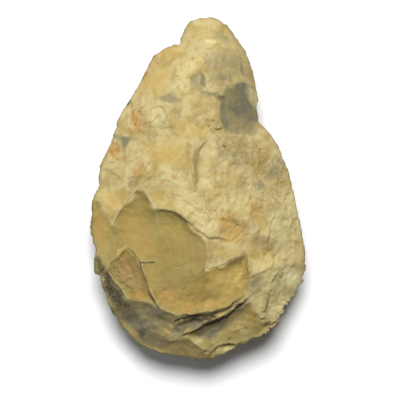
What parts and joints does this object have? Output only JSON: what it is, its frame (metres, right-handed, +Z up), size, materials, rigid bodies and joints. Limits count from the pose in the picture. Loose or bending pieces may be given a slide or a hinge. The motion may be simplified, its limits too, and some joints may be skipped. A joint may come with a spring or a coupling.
{
  "type": "stone hand axe",
  "caption": "Pear-shaped flaked flint hand axe with a blunt tip and a thick butt, held in the palm to cut, scrape and dig.",
  "frame": {"origin": "centre of the stone's outline seen from above, at the height of the surface it lies on", "axes": "+Y towards the tip, +Z up out of the upper face, +X to the right when the tip points away"},
  "size_m": [0.0946, 0.15, 0.043],
  "materials": {
    "flint": "matt to slightly waxy, yellow-ochre worn flint with grey patches"
  },
  "bodies": {
    "root": {"hand_axe": "flint"}
  },
  "joints": []
}
